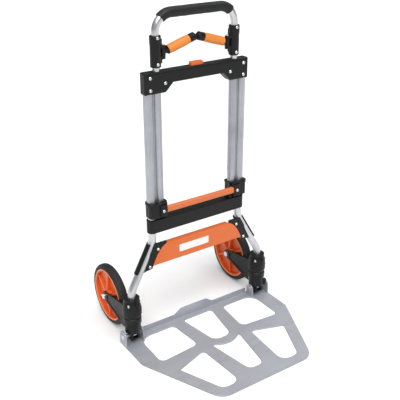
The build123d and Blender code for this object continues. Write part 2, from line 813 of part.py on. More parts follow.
def crossbar_shell(front):
    """Half of the upper crossbar, split on the tubes' plane; front picks the half."""
    with BuildSketch(facing_front(0), mode=Mode.PRIVATE) as face:
        with BuildLine():
            Polyline(
                (-cap_end, cap_bottom),
                (-cap_inner, cap_bottom),
                (-cap_inner + cap_haunch, cap_beam_bottom),
                (cap_inner - cap_haunch, cap_beam_bottom),
                (cap_inner, cap_bottom),
                (cap_end, cap_bottom),
                (cap_end, cap_top),
                (-cap_end, cap_top),
                close=True,
            )
        make_face()
        fillet(face.vertices().filter_by(lambda v: abs(v.Z - cap_beam_bottom) < 0.1), 14)
        fillet(face.vertices().filter_by(lambda v: abs(abs(v.X) - cap_end) < 0.1), 3)
    toward = 1 if front else -1
    with BuildPart() as shell:
        extrude(face.sketch, amount=toward * cap_half_depth)
        ends = shell.edges().filter_by(Axis.Z).filter_by(
            lambda e: abs(e.center().Y) > 1 and abs(e.center().X) > cap_end - 1)
        fillet(ends, cap_rounding)
        # Seats for the uprights, closed at the top but for the handle tubes.
        with BuildSketch(Plane.XY.offset(cap_bottom - 5)):
            seats = upright_profile(seat_gap)
            add(seats)
            mirror(seats, about=Plane.YZ)
        extrude(amount=upright_top + seat_gap - cap_bottom + 5, mode=Mode.SUBTRACT)
        for side in (-1, 1):
            with Locations((side * handle_x, 0, cap_top)):
                Cylinder(handle_radius + slide_gap, 30, mode=Mode.SUBTRACT)
        # The latch's chamber, the slot in the top for the release button, and the pins' guides.
        with Locations((0, 0, (chamber_low + chamber_top) / 2)):
            Box(2 * chamber_half, cap_depth - 2 * cap_wall, chamber_top - chamber_low, mode=Mode.SUBTRACT)
        with Locations((0, 0, cap_top)):
            Box(2 * (button_half + face_gap), button_depth + 2 * face_gap, 12, mode=Mode.SUBTRACT)
        for side in (-1, 1):
            with Locations(Location((side * (chamber_half + handle_x) / 2, 0, latch_z), (0, 90, 0))):
                Cylinder(pin_hole_radius, handle_x - chamber_half, mode=Mode.SUBTRACT)
            for x, z in cap_middle_screws:
                with Locations(Location((side * x, -cap_half_depth, z), (90, 0, 0))):
                    Cylinder(screw_radius + seat_gap, 2 * cap_middle_reach + 2, mode=Mode.SUBTRACT)
            if front:
                for x, z in cap_edge_screws:
                    with Locations(Location((side * x, -cap_half_depth, z), (90, 0, 0))):
                        Cylinder(screw_radius + seat_gap, 12, mode=Mode.SUBTRACT)
    return shell


save(crossbar_shell(True), "upper_crossbar_front")
save(crossbar_shell(False), "upper_crossbar_rear")
save(screws(both_sides([(x, -cap_half_depth, z) for x, z in cap_edge_screws]),
            cap_half_depth - rail_radius + 0.8), "crossbar_edge_screws")
save(screws(both_sides([(x, -cap_half_depth, z) for x, z in cap_middle_screws]), cap_middle_reach),
     "crossbar_middle_screws")

# ---------------------------------------------------------------- handle release
# Sloped legs under the button draw the two latch pins inwards by their cross rollers.
button_top = cap_top + 8.0
flange_half = (26.0, 9.0)
flange_thick = 2.0
roller_x = 14.0
roller_radius = 2.2
roller_half = 6.2
cam_gap = 0.35
leg_in = pin_radius + 0.7
leg_out = 6.6
spring_radius = 4.4
spring_wire = 0.6
flange_top = chamber_top - face_gap
flange_low = flange_top - flange_thick
cam = Vector(pin_travel, button_travel).normalized()  # the slope of the legs' inner faces, X and Z


def cam_point(height):
    """X and Z on the right leg's inner face, this high above where its roller touches at rest."""
    reach = roller_radius + cam_gap
    return (roller_x + reach * cam.Y - height * cam.X / cam.Y, latch_z + reach * cam.X + height)


with BuildPart() as release_button:
    with Locations((0, 0, (flange_low + button_top) / 2)):
        Box(2 * button_half, button_depth, button_top - flange_low)
    fillet(release_button.edges().filter_by(Axis.Z), 3)
    fillet(release_button.edges().group_by(Axis.Z)[-1], 1.5)
    with Locations((0, 0, (flange_low + flange_top) / 2)):
        Box(2 * flange_half[0], 2 * flange_half[1], flange_thick)
    # A finger hollow in the top.
    with Locations(Location((0, 0, button_top + 58.5), (90, 0, 0))):
        Cylinder(60, button_depth - 4, mode=Mode.SUBTRACT)
    with Locations((0, 0, flange_low - 5)):
        Cylinder(spring_radius - spring_wire - 0.5, 10)
    for side in (-1, 1):
        leg_low = cam_point(-2.5)
        leg_high = cam_point(flange_low + 0.5 - cam_point(0)[1])
        for y in (-leg_in, leg_out):
            with BuildSketch(facing_front(y)):
                with BuildLine():
                    Polyline(
                        (side * leg_low[0], leg_low[1]),
                        (side * leg_high[0], leg_high[1]),
                        (side * (leg_low[0] + 5), leg_high[1]),
                        (side * (leg_low[0] + 5), leg_low[1]),
                        close=True,
                    )
                make_face()
            extrude(amount=leg_out - leg_in)
save(release_button, "release_button")

with BuildPart() as button_spring:
    with BuildLine():
        coil = Helix(pitch=3.6, height=flange_low - chamber_low - 2 * spring_wire - 0.4,
                     radius=spring_radius, center=(0, 0, chamber_low + spring_wire + 0.2))
    with BuildSketch(Plane(coil @ 0, z_dir=coil % 0)):
        Circle(spring_wire)
    sweep()
save(button_spring, "button_spring")

handle_tip = handle_x - handle_radius - 0.6
with BuildPart() as handle_latch_pin:
    with Locations(Location(((roller_x + handle_tip) / 2, 0, latch_z), (0, 90, 0))):
        Cylinder(pin_radius, handle_tip - roller_x)
    chamfer(handle_latch_pin.edges().group_by(Axis.X)[-1], 0.5)
    with Locations(Location((roller_x, 0, latch_z), (90, 0, 0))):
        Cylinder(roller_radius, 2 * roller_half)
save_pair(handle_latch_pin, "handle_latch_pin")

# ---------------------------------------------------------------- lower brackets
bracket_inner = 97.0
bracket_outer = 147.0
bracket_front = -22.0
bracket_back = 13.5
bulge_inner = 102.0
bulge_outer = 121.0
bulge_front = -27.0
bulge_low = 350.0
bulge_root = 4.0  # how far the bulge runs back into the bracket, halved
bulge_high = 380.0
rim_flare = 1.3
rim_low = 379.0
skirt_outer = 106.0
cavity_back = -12.6
cavity_front = -24.0
pin_cavity_front = -20.8
cavity_low = 359.0
cavity_high = 381.0
cavity_step = 119.5
cavity_outer = 138.0


def bracket_outline(grow):
    """The bracket from above, grown by a distance: deep in front of both channels, rounded outside."""
    with BuildSketch(mode=Mode.PRIVATE) as outline:
        with BuildLine():
            Polyline(
                (bracket_inner, bracket_back),
                (bracket_inner, cavity_back),
                (bulge_inner, cavity_back),
                (bulge_inner, bracket_front),
                (bracket_outer, bracket_front),
                (bracket_outer, bracket_back),
                close=True,
            )
        make_face()
        corners = outline.vertices().sort_by_distance((bracket_outer, bracket_front))
        fillet(corners[0], 12)
        fillet(outline.vertices().sort_by_distance((bracket_outer, bracket_back))[0], 12)
        fillet(outline.vertices().sort_by_distance((bracket_inner, bracket_back))[0], 5)
        if grow:
            offset(amount=grow)
    return outline.sketch


with BuildPart() as lower_bracket:
    with BuildSketch(Plane.XY.offset(bracket_bottom)):
        add(bracket_outline(0))
    extrude(amount=bracket_top - bracket_bottom)
    with BuildSketch(Plane.XY.offset(rim_low)):
        add(bracket_outline(rim_flare))
    extrude(amount=bracket_top - rim_low)
    # A skirt that comes down to the lower crossbar inside the tubes.
    with Locations(((bracket_inner + skirt_outer) / 2, 0, (beam_top + 0.5 + bracket_bottom) / 2 + 1)):
        Box(skirt_outer - bracket_inner, 20, bracket_bottom - beam_top - 0.5 + 2)
    # The bulge that the screw sits in.
    with BuildSketch(Plane.XY.offset(bulge_low)):
        with Locations(((bulge_inner + bulge_outer) / 2, (bulge_front + bracket_front) / 2 + bulge_root)):
            RectangleRounded(
                bulge_outer - bulge_inner, bracket_front - bulge_front + 2 * bulge_root, 3)
    extrude(amount=bulge_high - bulge_low)
    # A shallow dip across the top.
    with Locations(Location(((bracket_inner + bracket_outer) / 2, 0, bracket_top + 58), (90, 0, 0))):
        Cylinder(60, 90, mode=Mode.SUBTRACT)
    # The latch's cavity, deeper behind the bulge, and the slot the bar's tongue comes in by.
    with Locations(((bulge_inner + 1.5 + cavity_step) / 2, (cavity_front + cavity_back) / 2,
                    (cavity_low + cavity_high) / 2)):
        Box(cavity_step - bulge_inner - 1.5, cavity_back - cavity_front, cavity_high - cavity_low,
            mode=Mode.SUBTRACT)
    with Locations(((cavity_step + cavity_outer) / 2 - 1, (pin_cavity_front + cavity_back) / 2,
                    (cavity_low + cavity_high) / 2)):
        Box(cavity_outer - cavity_step + 2, cavity_back - pin_cavity_front, cavity_high - cavity_low,
            mode=Mode.SUBTRACT)
    # The screw's pillar through the cavity.
    pillar_middle = (bracket_screw_x, (cavity_front + cavity_back) / 2, bracket_screw_z)
    with Locations(Location(pillar_middle, (90, 0, 0))):
        Cylinder(screw_radius + 1.7, cavity_back - cavity_front + 1)
    # Seats for the upright, with the lower tube running out below.
    with BuildSketch(Plane.XY.offset(upright_bottom - seat_gap)):
        add(upright_profile(seat_gap))
    extrude(amount=bracket_top - upright_bottom + 10, mode=Mode.SUBTRACT)
    with Locations((rail_x, 0, bracket_bottom)):
        Cylinder(rail_radius + slide_gap + 0.3, 12, mode=Mode.SUBTRACT)
    with Locations(Location((rail_x, -rail_lobe - 1, rail_pin_z), (90, 0, 0))):
        Cylinder(pin_hole_radius, 8, mode=Mode.SUBTRACT)
    with Locations(Location((bracket_screw_x, bulge_front, bracket_screw_z), (90, 0, 0))):
        Cylinder(screw_radius + seat_gap, 40, mode=Mode.SUBTRACT)
    tongue_low = bar_high - 6.0
    with Locations((bulge_inner, -17.8, (tongue_low - bar_travel + bar_high) / 2)):
        Box(8, 9.4, bar_high - tongue_low + bar_travel + 2 * face_gap, mode=Mode.SUBTRACT)
save_pair(lower_bracket, "lower_bracket")

bracket_screws = screws(both_sides([(bracket_screw_x, bulge_front, bracket_screw_z)]),
                        -bulge_front - handle_radius - slide_gap - 0.4)
save(bracket_screws, "bracket_screws")

# ---------------------------------------------------------------- frame release
# The bar between the brackets; each tongue's wedge draws a latch pin forwards out of its tube.
wedge_in = 103.9
wedge_out = 107.6
wedge_back = -13.0
carrier_z = 371.0
carrier_half = 2.0
follower_y = -15.5
carrier_thick = 2.0
pin_back_y = -14.0


def wedge_face(z):
    """Y of the wedge's sloped front face at height z, clear of the follower by cam_gap."""
    return follower_y + cam_gap * 1.2 - (z - carrier_z - carrier_half) * pin_travel / bar_travel


wedge_top = cavity_high - face_gap - 0.2
# Where the sloped face meets the wedge's back.
wedge_toe = (carrier_z + carrier_half
             + (follower_y + cam_gap * 1.2 - wedge_back) * bar_travel / pin_travel)

with BuildPart() as release_bar:
    with BuildSketch(Plane.YZ.offset(-bar_half)):
        with Locations(((bar_front + bar_back) / 2, (bar_low + bar_high) / 2)):
            RectangleRounded(bar_back - bar_front, bar_high - bar_low, 3.5)
    extrude(amount=2 * bar_half)
    for side in (-1, 1):
        with Locations((side * (bar_half - 4 + wedge_in + 0.2) / 2, -17.8, (tongue_low + bar_high) / 2)):
            Box(wedge_in + 0.2 - bar_half + 4, 8.4, bar_high - tongue_low)
        with BuildSketch(Plane.YZ.offset(side * wedge_in)):
            with BuildLine():
                Polyline(
                    (wedge_back, wedge_toe),
                    (wedge_back, wedge_top),
                    (wedge_face(wedge_top), wedge_top),
                    close=True,
                )
            make_face()
        extrude(amount=side * (wedge_out - wedge_in))
save(release_bar, "release_bar")

rail_tip = -(rail_radius + 0.45)
with BuildPart() as frame_latch_pin:
    with Locations(Location((rail_x, (rail_tip + pin_back_y) / 2, rail_pin_z), (90, 0, 0))):
        Cylinder(pin_radius, rail_tip - pin_back_y)
    chamfer(frame_latch_pin.edges().group_by(Axis.Y)[-1], 0.3)
    with Locations((rail_x, pin_back_y - carrier_thick / 2, (rail_pin_z + carrier_z) / 2)):
        Box(2 * pin_radius, carrier_thick, carrier_z - rail_pin_z + 2 * pin_radius)
    with Locations(((cavity_step - 3 + rail_x) / 2, pin_back_y - carrier_thick / 2, carrier_z)):
        Box(rail_x - cavity_step + 3, carrier_thick, 2 * carrier_half)
    with Locations(((wedge_in + 0.8 + cavity_step - 1.5) / 2, follower_y - carrier_thick / 2, carrier_z)):
        Box(cavity_step - 1.5 - wedge_in - 0.8, carrier_thick, 2 * carrier_half)
save_pair(frame_latch_pin, "frame_latch_pin")

# ---------------------------------------------------------------- telescopic handle
sleeve_radius = sleeve_od / 2
collar_radius = sleeve_collar_od / 2
sleeve_top = sleeve_bottom + sleeve_height
collar_height = 20.0
sleeve_screw_z = (723.7, 783.2)
sleeve_screw_y = -(sleeve_radius - 0.6)
sleeve_screw_reach = 5.2
lug_radius = 6.0
lug_gap_low = 739.0
lug_gap_high = 758.4
lug_thick = 6.0
pivot_radius = 2.5
rib_start = 4.5  # from the pivot's axis outwards

with BuildPart() as handle_tube:
    with BuildLine():
        FilletPolyline(
            (-handle_x, 0, handle_bottom),
            (-handle_x, 0, handle_top),
            (handle_x, 0, handle_top),
            (handle_x, 0, handle_bottom),
            radius=handle_bend,
        )
    with BuildSketch(Plane.XY.offset(handle_bottom)):
        with Locations((-handle_x, 0)):
            Circle(handle_radius)
            Circle(handle_radius - handle_wall, mode=Mode.SUBTRACT)
    sweep()
    for side in (-1, 1):
        for step in range(latch_steps + 1):
            place = latch_z - step * handle_travel / latch_steps
            with Locations(Location((side * (handle_x - handle_radius), 0, place), (0, 90, 0))):
                Cylinder(pin_hole_radius, 8, mode=Mode.SUBTRACT)
        for z in sleeve_screw_z:
            with Locations(Location((side * handle_x, -handle_radius, z), (90, 0, 0))):
                Cylinder(screw_radius + seat_gap, 8, mode=Mode.SUBTRACT)
save(handle_tube, "handle_tube")

guide_height = 7.0
with BuildPart() as handle_guide:
    with Locations((handle_x, 0, handle_bottom - guide_height / 2)):
        Cylinder(handle_radius + slide_gap - 0.15, guide_height)
    chamfer(handle_guide.edges().group_by(Axis.Z)[0], 0.8)
    with Locations((handle_x, 0, handle_bottom + 6)):
        Cylinder(handle_radius - handle_wall - seat_gap, 12)
save_twins(handle_guide, "handle_guides")

# Foam over the top of the handle and part of each bend.
with BuildPart() as foam_grip:
    bend_x = handle_x - handle_bend
    bend_z = handle_top - handle_bend
    start, middle = radians(90 - grip_wrap), radians(90 - grip_wrap / 2)
    with BuildLine():
        Line((-bend_x, 0, handle_top), (bend_x, 0, handle_top))
        for side in (-1, 1):
            ThreePointArc(
                (side * bend_x, 0, handle_top),
                (side * (bend_x + handle_bend * cos(middle)), 0, bend_z + handle_bend * sin(middle)),
                (side * (bend_x + handle_bend * cos(start)), 0, bend_z + handle_bend * sin(start)),
            )
    grip_start = Plane(
        (-bend_x - handle_bend * cos(start), 0, bend_z + handle_bend * sin(start)),
        z_dir=(sin(start), 0, cos(start)),
    )
    with BuildSketch(grip_start):
        Circle(grip_od / 2)
        Circle(handle_radius + seat_gap, mode=Mode.SUBTRACT)
    sweep()
save(foam_grip, "foam_grip")

with BuildPart() as sleeve:
    with Locations((handle_x, 0, sleeve_bottom + sleeve_height / 2)):
        Cylinder(sleeve_radius, sleeve_height)
    with Locations((handle_x, 0, sleeve_top - collar_height / 2)):
        Cylinder(collar_radius, collar_height)
    chamfer(sleeve.edges().filter_by(GeomType.CIRCLE).group_by(Axis.Z)[0], 1)
    chamfer(sleeve.edges().filter_by(GeomType.CIRCLE).group_by(Axis.Z)[-1], 1)
    # Two lugs and the rib that carries them on the inner side.
    for low in (lug_gap_low - lug_thick, lug_gap_high):
        with BuildSketch(Plane.XY.offset(low)):
            with Locations((arm_pivot_x, 0)):
                Circle(lug_radius)
            with Locations((handle_x, 0)):
                Circle(lug_radius + 1)
            make_hull()
        extrude(amount=lug_thick)
    for low, high in ((sleeve_bottom + 8, lug_gap_low - 1), (lug_gap_high + 1, sleeve_top - 8)):
        with Locations(((handle_x + arm_pivot_x + rib_start) / 2, 0, (low + high) / 2)):
            Box(handle_x - arm_pivot_x - rib_start, 9, high - low)
    with Locations((handle_x, 0, sleeve_bottom + sleeve_height / 2)):
        Cylinder(handle_radius + seat_gap, sleeve_height + 2, mode=Mode.SUBTRACT)
    with Locations((arm_pivot_x, 0, arm_pivot_z)):
        Cylinder(pivot_radius + seat_gap, 60, mode=Mode.SUBTRACT)
    for z in sleeve_screw_z:
        with Locations(Location((handle_x, sleeve_screw_y - 5, z), (90, 0, 0))):
            Cylinder(screw_head_radius + 0.3, 10, mode=Mode.SUBTRACT)
        with Locations(Location((handle_x, sleeve_screw_y, z), (90, 0, 0))):
            Cylinder(screw_radius + seat_gap, 12, mode=Mode.SUBTRACT)
save_pair(sleeve, "sleeve")
save(screws(both_sides([(handle_x, sleeve_screw_y, z) for z in sleeve_screw_z]), sleeve_screw_reach),
     "sleeve_screws")

pivot_low = lug_gap_low - lug_thick
pivot_high = lug_gap_high + lug_thick
with BuildPart() as arm_pivot_pin:
    with Locations((arm_pivot_x, 0, (pivot_low + pivot_high) / 2)):
        Cylinder(pivot_radius, pivot_high - pivot_low)
    with Locations((arm_pivot_x, 0, pivot_high + 1)):
        Cylinder(pivot_radius + 1.5, 2)
    chamfer(arm_pivot_pin.edges().group_by(Axis.Z)[-1], 0.6)
save_twins(arm_pivot_pin, "arm_pivot_pins")

# ---------------------------------------------------------------- swing arms
arm_grip_radius = arm_grip_od / 2
arm_core = 5.0
eye_radius = 6.4
neck_start = 7.0
neck_end = 12.5
grip_end = 73.0
arm_gap = 2.0
arm_plane = Plane(
    (arm_pivot_x, 0, arm_pivot_z),
    x_dir=(-cos(radians(arm_rise)), 0, sin(radians(arm_rise))),
    z_dir=(0, -1, 0),
)
arm_axis = Axis(arm_plane.origin, arm_plane.x_dir)
arm_length = (arm_pivot_x - arm_gap / 2) / cos(radians(arm_rise)) - arm_grip_radius * 0.2

with BuildPart() as arm_ferrule:
    with BuildSketch(arm_plane):
        with BuildLine():
            Polyline(
                (2, 0),
                (2, 6),
                (neck_start, 6),
                (neck_end, arm_grip_radius - 0.4),
                (neck_end, arm_core),
                (grip_end + 8, arm_core),
                (grip_end + 8, 0),
                close=True,
            )
        make_face()
    revolve(axis=arm_axis)
    with Locations((arm_pivot_x, 0, (lug_gap_low + lug_gap_high) / 2)):
        Cylinder(eye_radius, lug_gap_high - lug_gap_low - 2 * face_gap)
    with Locations((arm_pivot_x, 0, arm_pivot_z)):
        Cylinder(pivot_radius + run_gap, 60, mode=Mode.SUBTRACT)
save_pair(arm_ferrule, "arm_ferrule")

with BuildPart() as arm_grip:
    with BuildSketch(arm_plane):
        with Locations(((neck_end + grip_end) / 2 + seat_gap, (arm_grip_radius + arm_core + seat_gap) / 2)):
            Rectangle(grip_end - neck_end - 2 * seat_gap, arm_grip_radius - arm_core - seat_gap)
    revolve(axis=arm_axis)
    fillet(arm_grip.edges().filter_by(GeomType.CIRCLE).filter_by(lambda e: e.radius > arm_core + 2), 1.2)
save_pair(arm_grip, "arm_grip")

tip_radius = arm_grip_radius - 0.8
with BuildPart() as arm_tip:
    with BuildSketch(arm_plane):
        with BuildLine():
            Polyline(
                (grip_end + seat_gap, arm_core + seat_gap),
                (grip_end + seat_gap, tip_radius),
                (arm_length - 3, tip_radius),
                (arm_length, tip_radius - 3),
                (arm_length, 0),
                (grip_end + 8 + seat_gap, 0),
                (grip_end + 8 + seat_gap, arm_core + seat_gap),
                close=True,
            )
        make_face()
    revolve(axis=arm_axis)
save_pair(arm_tip, "arm_tip")
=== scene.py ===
"""Looks of a folding hand truck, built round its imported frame: procedural materials on every CAD
node, and finer meshes for the tyres, the foam handle, the arm grips and the edges of the rims."""

import json
import math

import bmesh
import bpy
from mathutils import Matrix, Vector, noise


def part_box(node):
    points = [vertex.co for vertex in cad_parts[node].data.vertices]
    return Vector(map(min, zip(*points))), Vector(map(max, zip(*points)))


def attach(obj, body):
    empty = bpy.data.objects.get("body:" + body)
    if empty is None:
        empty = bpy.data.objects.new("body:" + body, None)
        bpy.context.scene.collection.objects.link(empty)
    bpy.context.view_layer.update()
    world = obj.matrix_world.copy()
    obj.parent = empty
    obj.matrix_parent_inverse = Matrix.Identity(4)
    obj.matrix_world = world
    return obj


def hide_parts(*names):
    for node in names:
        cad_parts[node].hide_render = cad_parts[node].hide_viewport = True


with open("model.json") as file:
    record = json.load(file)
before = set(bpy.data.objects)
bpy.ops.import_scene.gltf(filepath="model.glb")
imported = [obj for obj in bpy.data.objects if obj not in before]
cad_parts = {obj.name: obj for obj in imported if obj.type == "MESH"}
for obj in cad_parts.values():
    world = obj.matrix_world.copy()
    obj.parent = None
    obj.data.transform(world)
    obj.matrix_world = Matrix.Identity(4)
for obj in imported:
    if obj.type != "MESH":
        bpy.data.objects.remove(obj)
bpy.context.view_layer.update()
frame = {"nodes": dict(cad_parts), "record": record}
nodes = frame["nodes"]
SIDES = ("left", "right")
MM = 0.001


def sign(side):
    """-1 on the left of the truck, +1 on its right."""
    return -1 if side == "left" else 1


# ---------------------------------------------------------------- material building blocks
class Shader:
    """One material's node tree, with short calls for the nodes that the finishes share."""

    def __init__(self, name, roughness, metallic=0.0, specular=0.5):
        self.material = bpy.data.materials.new(name)
        self.material.use_nodes = True
        self.tree = self.material.node_tree
        self.surface = self.tree.nodes["Principled BSDF"]
        self.set("Roughness", roughness)
        self.set("Metallic", metallic)
        self.set("Specular IOR Level", specular)
        self.place = self.node("ShaderNodeTexCoord").outputs["Object"]

    def set(self, socket, value):
        self.surface.inputs[socket].default_value = value

    def node(self, kind, inputs=(), **settings):
        made = self.tree.nodes.new(kind)
        for key, value in settings.items():
            setattr(made, key, value)
        for key, value in dict(inputs).items():
            self.join(value, made.inputs[key])
        return made

    def join(self, value, socket):
        """Links an output to the socket, or sets the socket where the value is a constant."""
        if isinstance(value, bpy.types.NodeSocket):
            self.tree.links.new(value, socket)
        else:
            socket.default_value = value

    def stretched(self, scale):
        return self.node("ShaderNodeMapping", {"Vector": self.place, "Scale": scale}).outputs[0]

    def noise(self, scale, detail=3.0, rough=0.55, place=None):
        made = self.node("ShaderNodeTexNoise", {
            "Vector": place or self.place, "Scale": scale, "Detail": detail, "Roughness": rough})
        return made.outputs["Fac"]

    def cells(self, scale):
        made = self.node("ShaderNodeTexVoronoi", {"Vector": self.place, "Scale": scale})
        return made.outputs["Distance"]

    def remap(self, value, low, high, to_low, to_high):
        made = self.node("ShaderNodeMapRange", {
            "Value": value, "From Min": low, "From Max": high, "To Min": to_low, "To Max": to_high})
        return made.outputs[0]

    def sum(self, first, second, operation="ADD"):
        made = self.node("ShaderNodeMath", operation=operation)
        self.join(first, made.inputs[0])
        self.join(second, made.inputs[1])
        return made.outputs[0]

    def blend(self, share, first, second):
        made = self.node("ShaderNodeMix", data_type="RGBA")
        self.join(share, made.inputs[0])
        self.join(first, made.inputs[6])
        self.join(second, made.inputs[7])
        return made.outputs[2]

    def edges(self, radius):
        """The rounded normal, and a mask that is 1 along the edges."""
        rounded = self.node("ShaderNodeBevel", {"Radius": radius}, samples=6).outputs[0]
        flat = self.node("ShaderNodeNewGeometry").outputs["Normal"]
        match = self.node("ShaderNodeVectorMath", {0: rounded, 1: flat}, operation="DOT_PRODUCT")
        return rounded, self.remap(match.outputs["Value"], 0.995, 0.9, 0.0, 1.0)

    def bump(self, height, depth, strength, normal=None):
        inputs = {"Height": height, "Distance": depth, "Strength": strength}
        if normal is not None:
            inputs["Normal"] = normal
        return self.node("ShaderNodeBump", inputs).outputs[0]

    def finish(self, colour=None, roughness=None, normal=None):
        for socket, value in (("Base Color", colour), ("Roughness", roughness), ("Normal", normal)):
            if value is not None:
                self.join(value, self.surface.inputs[socket])
        return self.material


def tone(colour, factor):
    """The colour made lighter or darker, with alpha."""
    return tuple(min(1.0, channel * factor) for channel in colour[:3]) + (1.0,)


# ---------------------------------------------------------------- finishes
def drawn_metal(name, colour, roughness, along, metallic=0.85, streak_and_painted_banding=0.16, edge=0.5 * MM,
                edge_tone=1.35):
    """Drawn or brushed metal: long streaks along one axis, faint cloudiness, paler rubbed edges
    (darker edges on the plate); the uprights' strong streak and bands are partly painted shade.
    """
    shader = Shader(name, roughness, metallic)
    across = [900.0, 900.0, 900.0]
    across["xyz".index(along)] = 5.0
    fine = shader.noise(1.0, 4.0, 0.6, shader.stretched(across))
    broad = [70.0, 70.0, 70.0]
    broad["xyz".index(along)] = 1.2
    bands = shader.noise(1.0, 2.0, 0.5, shader.stretched(broad))
    cloud = shader.noise(14.0, 3.0)
    mixed = shader.sum(shader.sum(fine, bands), cloud)
    shade = shader.remap(mixed, 1.1, 1.9, 0.0, 1.0)
    rounded, edge_mask = shader.edges(edge)
    base = shader.blend(shade, tone(colour, 1 - streak_and_painted_banding), tone(colour, 1 + streak_and_painted_banding))
    # This mix tones the edges by edge_tone: paler on most metals, darker on the plate.
    edge_share = shader.sum(edge_mask, shader.remap(cloud, 0.35, 0.65, 0.2, 0.7), "MULTIPLY")
    rough = shader.remap(mixed, 1.0, 2.0, roughness - 0.07, roughness + 0.09)
    normal = shader.bump(fine, 0.02 * MM, 0.35, rounded)
    return shader.finish(shader.blend(edge_share, base, tone(colour, edge_tone)), rough, normal)


def moulded(name, colour, roughness, grain=1800.0, depth=0.05 * MM, wear=0.45, edge=0.7 * MM,
            lighter=1.9, mottle=0.1, specular=0.45):
    """Moulded plastic or rubber: spark-eroded grain, faint flow marks and paler rubbed edges."""
    shader = Shader(name, roughness, 0.0, specular)
    pits = shader.cells(grain)
    fine = shader.noise(grain * 0.6, 2.0)
    flow = shader.noise(9.0, 4.0, 0.6)
    scuffs = shader.noise(1.0, 4.0, 0.7, shader.stretched([420.0, 160.0, 30.0]))
    rounded, edge_mask = shader.edges(edge)
    shade = shader.remap(shader.sum(flow, fine), 0.8, 1.2, 0.0, 1.0)
    base = shader.blend(shade, tone(colour, 1 - mottle), tone(colour, 1 + mottle))
    edge_share = shader.sum(edge_mask, shader.remap(flow, 0.4, 0.62, 0.1, wear), "MULTIPLY")
    rough = shader.remap(shader.sum(scuffs, flow), 0.75, 1.3, roughness - 0.08, roughness + 0.1)
    normal = shader.bump(shader.sum(pits, fine), depth, 0.5, rounded)
    return shader.finish(shader.blend(edge_share, base, tone(colour, lighter)), rough, normal)


def foam_finish():
    """Closed-cell foam: small open cells in the skin, matt, with a soft sheen."""
    shader = Shader("foam_cells", 0.6, 0.0, 0.35)
    shader.set("Sheen Weight", 0.06)
    shader.set("Sheen Roughness", 0.4)
    pores = shader.cells(900.0)
    small = shader.cells(2300.0)
    lumps = shader.noise(120.0, 3.0)
    height = shader.sum(shader.sum(pores, small, "MULTIPLY"), lumps)
    shade = shader.remap(pores, 0.1, 0.75, 0.0, 1.0)
    base = shader.blend(shade, (0.004, 0.004, 0.0045, 1), (0.011, 0.011, 0.012, 1))
    rough = shader.remap(lumps, 0.3, 0.7, 0.48, 0.64)
    return shader.finish(base, rough, shader.bump(height, 0.25 * MM, 0.6))


def label_finish():
    """A blank vinyl sticker: near white, slightly glossy, with a faint print grain."""
    shader = Shader("blank_label", 0.35)
    grain = shader.noise(700.0, 2.0)
    cloud = shader.noise(40.0, 2.0)
    base = shader.blend(shader.remap(cloud, 0.35, 0.65, 0.0, 1.0),
                        (0.78, 0.77, 0.74, 1), (0.88, 0.87, 0.85, 1))
    rough = shader.remap(grain, 0.3, 0.7, 0.3, 0.42)
    return shader.finish(base, rough, shader.bump(grain, 0.02 * MM, 0.3))


def floor_finish():
    """A white studio floor that glows faintly, so that it meets the background."""
    shader = Shader("studio_floor", 0.9, 0.0, 0.1)
    shader.set("Emission Color", (1.0, 1.0, 1.0, 1.0))
    shader.set("Emission Strength", 0.07)
    grain = shader.noise(6.0, 2.0)
    base = shader.blend(grain, (0.770, 0.776, 0.780, 1), (0.780, 0.786, 0.790, 1))
    return shader.finish(base)


FINISHES = {
    "tube": drawn_metal("tube_aluminium", (0.60, 0.605, 0.625), 0.34, "z", 0.95, 0.2),
    # The uprights' strong streak is partly painted light and shade. Its pale and dark bands along
    # the profile stand in for light on the lobes, over real drawn streaks.
    "upright": drawn_metal("upright_anodised", (0.385, 0.395, 0.425), 0.36, "z", 0.9, 0.32),
    # The plate's edge tone is below one, so it comes out darker along its edges.
    "plate": drawn_metal("plate_aluminium", (0.40, 0.415, 0.455), 0.45, "x", 0.5, 0.07,
                         2.2 * MM, 0.62),
    "steel": drawn_metal("zinc_steel", (0.68, 0.68, 0.69), 0.28, "y", 0.95, 0.12, 0.3 * MM),
    "black": moulded("black_plastic", (0.0065, 0.0065, 0.007), 0.42, lighter=3.5,
                      specular=0.25),
    "orange": moulded("orange_plastic", (0.66, 0.135, 0.024), 0.38, 1400.0, wear=0.35, lighter=1.25,
                      mottle=0.05),
    "bar_orange": moulded("bar_orange_plastic", (0.60, 0.15, 0.045), 0.42, 1500.0, wear=0.35,
                          lighter=1.25, mottle=0.05),
    "grip_orange": moulded("grip_rubber", (0.74, 0.225, 0.030), 0.50, 1100.0, 0.09 * MM, wear=0.3,
                           lighter=1.2, mottle=0.06),
    "rim": moulded("rim_plastic", (0.72, 0.105, 0.013), 0.40, 1500.0, wear=0.4, lighter=1.4,
                   mottle=0.08),
    # The rim bead's finish is a paler copy of the rim plastic: a painted highlight along the rim's
    # edge.
    "rim_edge_painted_highlight": moulded("rim_bead", (0.88, 0.33, 0.16), 0.35, 1500.0, wear=0.5, lighter=1.2,
                        mottle=0.05),
    "tyre": moulded("tyre_rubber", (0.016, 0.016, 0.016), 0.62, 1300.0, 0.08 * MM, wear=0.3,
                    lighter=2.0, specular=0.3),
    "foam": foam_finish(),
    "label": label_finish(),
}


def dress(piece, finish):
    piece.data.materials.clear()
    piece.data.materials.append(FINISHES[finish])


def shade_smooth(piece, angle=35.0):
    """Smooth shading with the sharp edges kept, so that machined corners stay crisp."""
    mesh = piece.data
    mesh.shade_smooth()
    mesh.set_sharp_from_angle(angle=math.radians(angle))


SLOTS = {part["node"]: part["material_slot"] for part in frame["record"]["subparts"]}
for name, piece in nodes.items():
    dress(piece, SLOTS[name])


